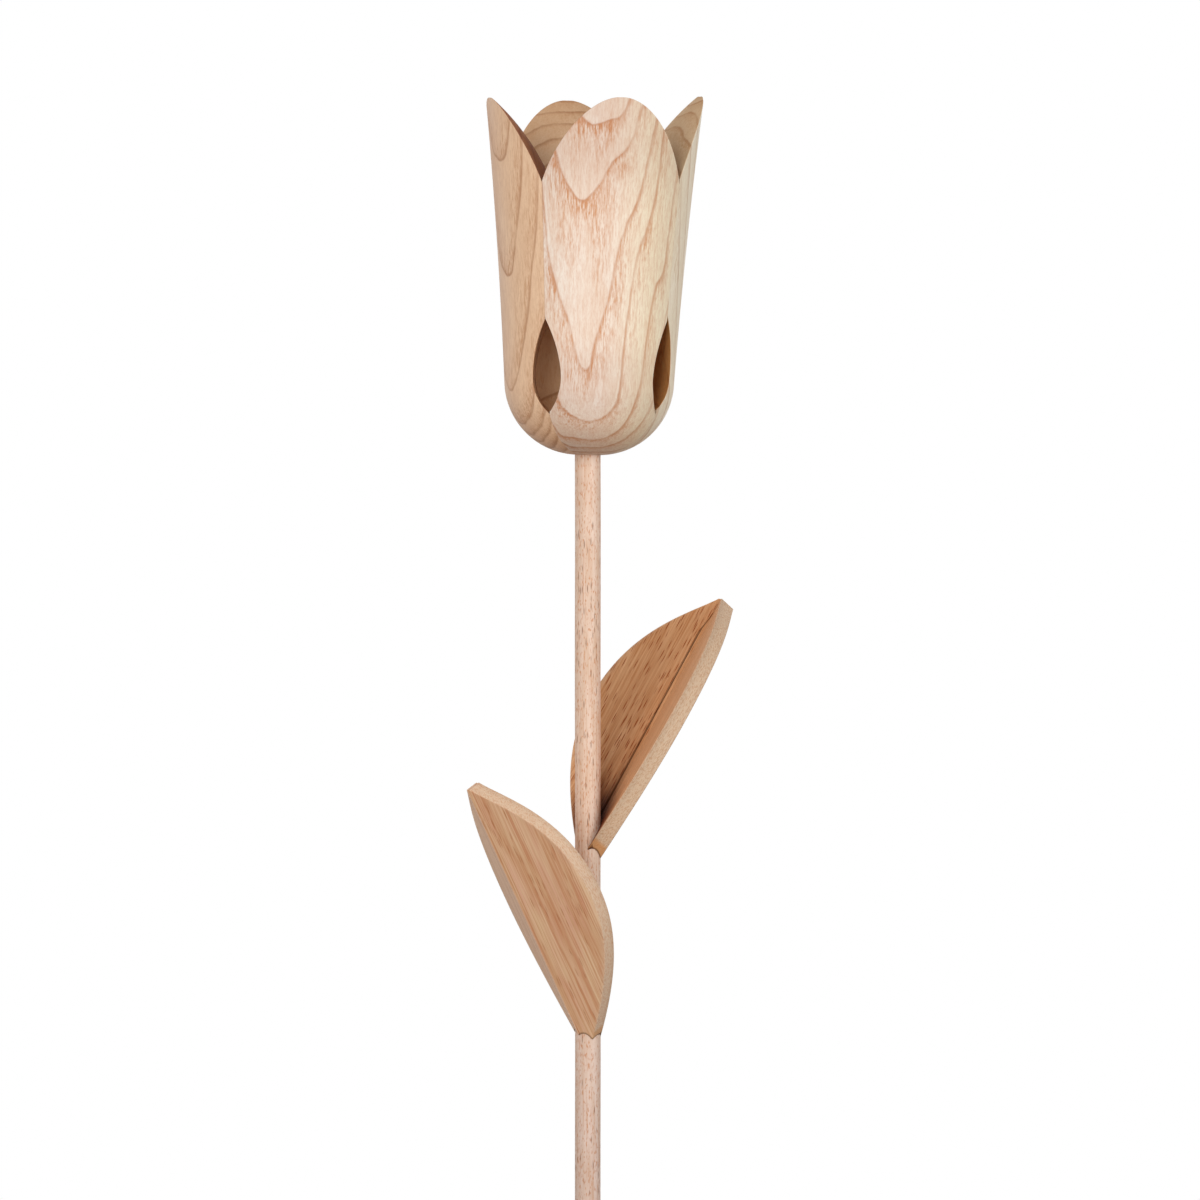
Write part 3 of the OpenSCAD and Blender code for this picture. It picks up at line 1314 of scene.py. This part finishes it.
@dataclass
class Leaf:
    """A V-shaped leaf, its bottom end hollowed to sit on the stem.

    Attributes:
        drop: How far below the head its keel meets the stem.
        turn: Direction it points in, from the right towards the back, degrees.
        let_in: How far the stem is let into its end.
        shift: How far it sits off the stem's middle, to the right of where it points.
        kerf: Depth of the saw kerf along the V.
        kerf_x: How far the kerf lies beside the keel.
        kerf_half: Half its width.
        saddle_r: Radius of the hollow in its end.
    """

    name: str
    node: str
    length: float
    thickness: float
    drop: float
    lean: float
    turn: float
    let_in: float
    shift: float
    wood: LeafWood
    shape: LeafShape = field(default_factory=LeafShape)
    columns: int = 40
    steps: int = 34
    arris: float = 0.12
    kerf: float = 0.6
    kerf_x: float = 0.7
    kerf_half: float = 0.16
    saddle_r: float = STEM_R + GLUE_GAP

    @property
    def keel_z(self) -> float:
        """Height at which the keel meets the stem, as far below the head as drop says."""
        return HeadSize().base_z - self.drop

    def frame(self) -> Matrix:
        """Gives the leaf's own frame.

        Returns:
            The frame: X across, Y to the open side, Z along the keel.
        """
        return Matrix.Translation((0, 0, self.keel_z * MM)) \
            @ Matrix.Rotation(math.radians(self.turn + 90), 4, "Z") \
            @ Matrix.Translation((-self.shift * MM, self.let_in * MM, 0)) \
            @ Matrix.Rotation(math.radians(self.lean), 4, "X")

    def section(self, w: float) -> np.ndarray:
        """Gives one section as a closed loop of points across the leaf.

        Args:
            w: Half width of the section.

        Returns:
            The loop, with a saw kerf along the bottom of the V.
        """
        shape, arris = self.shape, self.arris
        spread = 1 / math.tan(math.radians(shape.half_angle))
        wall = self.thickness / math.sin(math.radians(shape.half_angle))
        inset = max(w - arris, w * 0.5)
        # Columns crowd towards the V; on the inside they move over to the kerf
        share = np.linspace(-1, 1, self.columns + 1)
        x_out = np.sign(share) * np.abs(share) ** 1.6 * inset
        half = min(self.kerf_half, inset * 0.02)
        x_in = x_out + self.kerf_x * float(smooth_step(2.6, 7.4, np.array(inset))) \
            * (1 - np.abs(share))
        # The five middle columns make the kerf's rims, sides and bottom
        middle = self.columns // 2
        x_in[middle - 2:middle + 3] = x_in[middle] + half * np.array((-1.3, -0.9, 0, 0.9, 1.3))
        cut = self.kerf * min(inset / 2.0, 1.0)
        depth = np.zeros_like(x_in)
        depth[middle - 1:middle + 2] = cut
        inside = np.stack([x_in, np.abs(x_in) * spread - depth], axis=1)
        x_out = x_out[::-1]
        outside = np.stack([x_out, np.abs(x_out) * spread - wall], axis=1)
        top = w * spread
        right = np.array([(w, top - arris), (w, top - wall * 0.5), (w, top - wall + arris)])
        left = right[::-1] * np.array((-1.0, 1.0))
        return np.concatenate([inside, right, outside, left])

    def blank(self) -> Piece:
        """Builds the leaf before its end is hollowed.

        Returns:
            The leaf in its own frame.
        """
        along, width = self.shape.outline(self.steps)
        z = along * self.length
        loops = [self.section(w) for w in width]
        points = np.array([(x, y, h) for loop, h in zip(loops, z) for x, y in loop])
        return mesh_object(self.name, points, tube_faces(len(z), len(loops[0])), 30.0)

    def hollow_end(self, made: Piece) -> None:
        """Cuts the round of the stem out of the leaf's bottom end.

        Args:
            made: The leaf in its own frame.
        """
        form = bmesh.new()
        bmesh.ops.create_cone(form, cap_ends=True, segments=96, radius1=self.saddle_r * MM,
                              radius2=self.saddle_r * MM, depth=self.length * MM)
        cutter = new_mesh("stem_cutter", form)
        cutter.transform(self.frame().inverted()
                         @ Matrix.Translation((0, 0, self.keel_z * MM)))
        tool = new_object("stem_cutter", cutter)
        cut = made.modifiers.new("saddle", "BOOLEAN")
        cut.operation = "DIFFERENCE"
        cut.solver = "EXACT"
        cut.object = tool
        bpy.context.view_layer.update()
        graph = bpy.context.evaluated_depsgraph_get()
        shaped = bpy.data.meshes.new_from_object(made.evaluated_get(graph))
        made.modifiers.clear()
        made.data = shaped
        bpy.data.objects.remove(tool)

    def mark_faces(self, made: Piece) -> None:
        """Marks the sawn rims, the end grain, and the painted shade in the kerf and beside the
        keel, for the material.

        Args:
            made: The leaf in its own frame.
        """
        along, width = self.shape.outline(self.steps)
        co = points_of(made)
        half = np.interp(co[:, 2], along * self.length, width)
        set_values(made, "sawn", smooth_step(-0.16, -0.06, np.abs(co[:, 0]) - half))
        set_values(made, "end_grain", 1 - smooth_step(0.02, 0.3, co[:, 2]))
        set_values(made, "place", co)
        # Under is the depth below the inner faces, where the kerf lies; painted shade goes in the
        # kerf's bottom and beside the keel low down
        spread = 1 / math.tan(math.radians(self.shape.half_angle))
        under = np.abs(co[:, 0]) * spread - co[:, 1]
        cut = smooth_step(0.06, 0.3, under) * (1 - smooth_step(1.0, 1.2, under))
        keel_shade = (1 - smooth_step(0.1, 1.6, np.abs(co[:, 0] - self.kerf_x))) \
            * (1 - smooth_step(6.0, 30.0, co[:, 2])) * (1 - smooth_step(0.9, 1.2, under))
        set_values(made, "groove_shade", np.maximum(cut, 0.9 * keel_shade))

    def build(self, effects: WoodEffects) -> Piece:
        """Builds, dresses and places the leaf.

        Args:
            effects: The shared shader groups.

        Returns:
            The leaf.
        """
        made = self.blank()
        self.hollow_end(made)
        self.mark_faces(made)
        made.data.transform(self.frame())
        return dress(made, self.wood.build(effects), self.node)


@dataclass
class Studio:
    """Pale floor, soft light from the front left, and the camera."""

    distance: float = 3000.0
    scale: float = 5.2
    centre_x: float = 2.35
    centre_z: float = 243.2
    camera_z: float = 270.0
    image: float = 1200.0
    sensor: float = 36.0
    key_power: float = 17.5
    fill_power: float = 13.0
    back_power: float = 7.0
    lit_z: float = 290.0
    sky: float = 0.22
    floor_r: float = 900.0
    floor_bounce: float = 0.3

    def camera(self) -> Piece:
        """Places the camera level with the flower, at the photograph's angle.

        Returns:
            The camera.
        """
        data = bpy.data.cameras.new("camera")
        data.sensor_width = self.sensor
        data.lens = self.sensor * self.scale * self.distance / self.image
        made = new_object("camera", data)
        spot = Vector((self.centre_x, -self.distance, self.camera_z)) * MM
        aim(made, spot, Vector((self.centre_x, 0.0, self.centre_z)) * MM - spot)
        bpy.context.scene.camera = made
        return made

    def lamp(self, name: str, power: float, azimuth: float, elevation: float,
             distance: float, size: float, colour: Vector3) -> Piece:
        """Places a square soft light aimed at the flower.

        Args:
            name: The light's name.
            power: Its power in watts.
            azimuth: Its direction from the front towards the right, degrees.
            elevation: Its height above the horizon, degrees.
            distance: How far it stands, in metres.
            size: Its side, in metres.
            colour: Its colour.

        Returns:
            The light.
        """
        data = bpy.data.lights.new(name, "AREA")
        data.energy = power
        data.size = size
        data.color = colour
        made = new_object(name, data)
        a, e = math.radians(azimuth), math.radians(elevation)
        way = Vector((math.sin(a) * math.cos(e), -math.cos(a) * math.cos(e), math.sin(e)))
        aim(made, Vector((0, 0, self.lit_z * MM)) + way * distance, -way)
        return made

    @staticmethod
    def seen_straight(graph: Graph) -> Wire:
        """Tells what the camera sees from what only lights the scene.

        Args:
            graph: The graph of a material or of the world.

        Returns:
            1 where the camera sees a thing itself, in a mirror or through glass.
        """
        path = graph.add("LightPath")
        seen = graph.maths("MAXIMUM", path.outputs["Is Camera Ray"],
                           path.outputs["Is Glossy Ray"])
        return graph.maths("MAXIMUM", seen, path.outputs["Is Transmission Ray"])

    def world(self) -> None:
        """Gives soft light from all round and a white background."""
        world = bpy.data.worlds.new("studio")
        bpy.context.scene.world = world
        world.use_nodes = True
        graph = Graph(world.node_tree)
        back = world.node_tree.nodes["Background"]
        back.inputs["Color"].default_value = (1.0, 1.0, 1.0, 1.0)
        graph.feed(back.inputs["Strength"],
                   graph.rise(self.seen_straight(graph), 0.0, 1.0, self.sky, 1.0))

    def floor(self) -> Piece:
        """Lays a pale round floor under the stem's foot.

        Returns:
            The floor.
        """
        form = bmesh.new()
        bmesh.ops.create_circle(form, cap_ends=True, segments=96, radius=self.floor_r * MM)
        mesh = new_mesh("floor", form)
        made = new_object("floor", mesh)
        made.location = (0, 0, -0.2 * MM)
        material, graph, shader = start_material("floor_paint", 0.8)
        speckle = graph.noise(graph.add("TexCoord").outputs["Object"], 220.0, 2.0)
        pale = graph.blend(speckle, srgb(243, 243, 243), srgb(248, 248, 248))
        dark = graph.blend(1.0, pale, (self.floor_bounce,) * 3 + (1.0,), Blend.MULTIPLY)
        graph.feed(shader.inputs["Base Color"],
                   graph.blend(self.seen_straight(graph), dark, pale))
        mesh.materials.append(material)
        return made

    def build(self) -> None:
        """Sets up the camera, the lights, the floor and the view."""
        bpy.context.scene.view_settings.view_transform = "Standard"
        self.camera()
        self.world()
        self.floor()
        self.lamp("key_light", self.key_power, azimuth=-26.0, elevation=12.0,
                  distance=1.5, size=1.2, colour=(1.0, 0.985, 0.965))
        self.lamp("fill_light", self.fill_power, azimuth=55.0, elevation=6.0,
                  distance=1.6, size=0.9, colour=(0.97, 0.985, 1.0))
        self.lamp("back_light", self.back_power, azimuth=180.0, elevation=30.0,
                  distance=1.6, size=1.2, colour=(1.0, 1.0, 1.0))


FRONT_LINES: tuple[Line, ...] = (
    ((-3.5, 65.5), (-2, 64), (-0.5, 63.1), (1, 63.3), (2.5, 64), (5.5, 65.5), (7, 68.5)),
    ((-7.4, 58.5), (-6.2, 55), (-4.2, 50.8), (-2.4, 48.8), (-0.7, 49.4), (1.2, 51.8),
     (3.5, 55.7), (6.5, 59), (7.7, 61.8), (8.7, 65.6), (9.4, 67.2)),
    ((-9, 45), (-8.4, 39.5), (-7.2, 34), (-5.4, 28.7), (-4, 24.5), (-2.9, 20.6),
     (-1.7, 17.2), (-0.7, 16.3), (0.2, 17.2), (0.9, 21), (2, 25.2), (3.5, 31), (5.2, 40),
     (6.3, 43.7), (8.2, 47.5), (9.7, 53), (10.8, 58), (11.5, 62.5)),
    ((-7, 15), (-5.9, 10.6), (-4.3, 8.3), (-2, 6.9), (0.4, 6.5), (2.7, 7.1), (4.5, 9),
     (5.7, 12), (6.2, 16.3), (6.6, 22), (7.7, 31.7), (8.9, 38.7), (10.2, 43),
     (11.5, 47.5), (12.4, 53), (13, 58.7)),
    ((-8, 8), (-5.7, 4), (-3.4, 3.3), (0.5, 2.9), (3.5, 3.5), (6.2, 5.2), (8.6, 9),
     (9.8, 13.7), (10.8, 21), (11.4, 26.7), (12.4, 32), (14, 37), (14.8, 44), (15.5, 50)),
    ((-8, 4.5), (-4, 1.8), (0.5, 1.5), (4.3, 1.9), (7.7, 3.7), (10.4, 6.7), (12, 10),
     (13.1, 15), (13.7, 22), (14.8, 28.7), (16, 36), (17, 45)),
    ((-8, 2), (-3, 0.7), (0.5, 0.6), (5, 0.9), (9, 2.6), (12, 6), (14, 12), (15.5, 22),
     (17.5, 35)),
)
LEFT_LINES: tuple[Line, ...] = (
    ((-5, 59.5), (-4.2, 58), (-2, 56.8), (0, 56.2), (1.7, 57.1), (3.1, 60.2), (3.8, 63),
     (4.5, 68)),
    ((-6, 42), (-4.1, 37.5), (-1.8, 34.8), (0.4, 34), (2.1, 35.6), (3.1, 39.4),
     (4.5, 44.4), (5.5, 49), (7.5, 62)),
    ((-7, 19), (-5, 15), (-2.9, 12.7), (-0.8, 12), (1.1, 13.3), (2.8, 16.3), (3.9, 19.4),
     (4.7, 22), (7, 33), (9.5, 48), (11.5, 66)),
    ((-7, 10), (-3, 6), (-0.8, 5.6), (1.1, 6), (5.7, 9.8), (8, 16), (10, 25), (12, 40)),
    ((-7, 7.5), (-3, 4.2), (-0.8, 3.6), (0.9, 3.9), (7, 7.5), (9, 11), (12, 24)),
    ((-6, 4.2), (-2, 2.5), (0, 2.3), (2.5, 2.9), (6.9, 5.4), (9, 8), (12, 16)),
    ((-6, 2.8), (-1, 1.2), (1, 1.2), (2.8, 1.7), (6.1, 3.3), (8, 5), (11, 9)),
    ((-6, 1.4), (-1, 0.5), (1, 0.5), (2.8, 0.8), (6.1, 1.8), (8, 3), (11, 6)),
)
RIGHT_LINES: tuple[Line, ...] = (
    ((-6, 80), (-3, 65), (0, 58), (3, 63), (7, 80)),
    ((-12, 80), (-8, 60), (-4, 42), (0, 34), (5, 45), (12, 80)),
    ((-13, 68), (-9, 45), (-5, 25), (0, 12), (6, 20), (13, 45)),
    ((-13, 52), (-9.5, 32), (-6, 15), (0, 5.5), (7, 12), (13, 30)),
    ((-14, 35), (-10.5, 18), (-6, 6), (0, 2.5), (7, 6), (13, 16)),
    ((-14, 20), (-10, 8), (-6, 3), (0, 1), (7, 3), (13, 9)),
)
BACK_LINES: tuple[Line, ...] = (
    ((-7, 67), (-3, 58), (0, 55), (4, 59), (8, 69)),
    ((-9, 50), (-4, 36), (0, 31), (5, 40), (9, 56)),
    ((-11, 38), (-6, 20), (0, 12), (6, 18), (12, 44)),
    ((-12, 26), (-6, 9), (0, 5), (6, 8), (12, 26)),
    ((-12, 14), (-6, 4), (0, 2), (6, 4), (12, 14)),
    ((-12, 8), (-6, 2), (0, 0.8), (6, 2), (12, 8)),
)


@dataclass
class FlowerHead:
    """Four petals glued round the stem's end."""

    effects: WoodEffects
    size: HeadSize = field(default_factory=HeadSize)

    def petals(self) -> list[Petal]:
        """Gives the four petals with their own woods and rings.

        Returns:
            The petals, not yet built: front, right, back and left.
        """
        front = 270.0 + self.size.turn
        return [
            Petal("front_petal", "petal_front", front, -0.5,
                  PetalWood("front_petal_wood", (3.0, 40.0, 0.0),
                            pale=srgb(246, 232, 218), warm=srgb(240, 219, 200),
                            sap=srgb(245, 230, 200), late=srgb(208, 147, 104),
                            line=srgb(198, 140, 102), hollow=srgb(236, 222, 208),
                            ends=srgb(240, 236, 235)),
                  RingFigure(-self.size.turn, FRONT_LINES)),
            Petal("right_petal", "petal_right", front + 90.0, 0.5,
                  PetalWood("right_petal_wood", (60.0, 7.0, 20.0),
                            pale=srgb(248, 236, 214), warm=srgb(240, 225, 198),
                            sap=srgb(246, 234, 210), late=srgb(222, 192, 158),
                            line=srgb(200, 160, 126), hollow=srgb(238, 222, 204),
                            window_shade=srgb(222, 170, 116)),
                  RingFigure(0.0, RIGHT_LINES)),
            Petal("back_petal", "petal_back", front + 180.0, -0.4,
                  PetalWood("back_petal_wood", (9.0, 95.0, 50.0),
                            pale=srgb(240, 216, 188), warm=srgb(230, 202, 170),
                            sap=srgb(234, 208, 178), late=srgb(214, 172, 134),
                            line=srgb(180, 134, 98), hollow=srgb(246, 236, 226)),
                  RingFigure(0.0, BACK_LINES)),
            Petal("left_petal", "petal_left", front + 270.0, -0.7,
                  PetalWood("left_petal_wood", (120.0, 30.0, 70.0),
                            pale=srgb(242, 208, 180), warm=srgb(234, 195, 164),
                            sap=srgb(240, 204, 170), late=srgb(200, 150, 112),
                            line=srgb(180, 130, 96), hollow=srgb(176, 134, 100),
                            across=srgb(252, 236, 220), late_share=0.6,
                            across_share=0.8, sap_late=1.3),
                  RingFigure(11.5, LEFT_LINES, heart_out=True)),
        ]

    def build(self) -> list[Piece]:
        """Builds the petals."""
        return [petal.build(self.effects) for petal in self.petals()]


@dataclass
class Stalk:
    """The stem with its two leaves."""

    effects: WoodEffects
    stem: Stem
    leaves: list[Leaf]

    def build(self) -> list[Piece]:
        """Builds the stem and the leaves."""
        return [self.stem.build(self.effects)] + [
            leaf.build(self.effects) for leaf in self.leaves]


def make_stalk(effects: WoodEffects) -> Stalk:
    """Gives the stem and leaves with their sizes and woods.

    Args:
        effects: The shared shader groups.

    Returns:
        The stalk, not yet built.
    """
    stem = Stem(StemWood("stem_wood", pale=srgb(235, 208, 189), warm=srgb(219, 185, 159),
                         fleck=srgb(202, 140, 100), pore=srgb(132, 82, 54)))
    upper = Leaf(
        "upper_leaf", "leaf_upper", length=59.3, thickness=3.3, drop=76.2, lean=35.5,
        turn=40.2, let_in=1.1, shift=0.42,
        wood=LeafWood("upper_leaf_wood", (14.0, 3.0, 9.0),
                      pale=srgb(222, 172, 128), brown=srgb(206, 150, 104),
                      streak=srgb(178, 112, 62), pore=srgb(150, 74, 22),
                      plain=srgb(212, 158, 114), edge=srgb(222, 194, 164),
                      end=srgb(208, 138, 66), kerf=srgb(80, 36, 8),
                      # painted_stem_shade here is painted shade next to the stem
                      painted_stem_shade=srgb(122, 72, 40), pore_amount=1.5, pore_depth=0.9))
    lower = Leaf(
        "lower_leaf", "leaf_lower", length=57.1, thickness=2.5, drop=112.1, lean=30.2,
        turn=219.6, let_in=1.0, shift=-0.36,
        wood=LeafWood("lower_leaf_wood", (77.0, 41.0, 2.0),
                      pale=srgb(226, 190, 150), brown=srgb(222, 172, 142),
                      streak=srgb(190, 122, 78), pore=srgb(172, 104, 56),
                      plain=srgb(244, 204, 172), edge=srgb(218, 190, 162),
                      end=srgb(204, 146, 92), kerf=srgb(96, 66, 42),
                      painted_stem_shade=srgb(255, 255, 255), pore_amount=0.3, pore_depth=0.55))
    return Stalk(effects, stem, [upper, lower])


def main() -> None:
    """Builds the flower round the frame."""
    logging.basicConfig(level=logging.INFO, format="%(name)s: %(message)s")
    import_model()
    Studio().build()
    effects = WoodEffects()
    pieces = FlowerHead(effects).build() + make_stalk(effects).build()
    for piece in pieces:
        LOG.info("%s: %d faces", piece.name, len(piece.data.polygons))


if __name__ == "__main__":
    main()
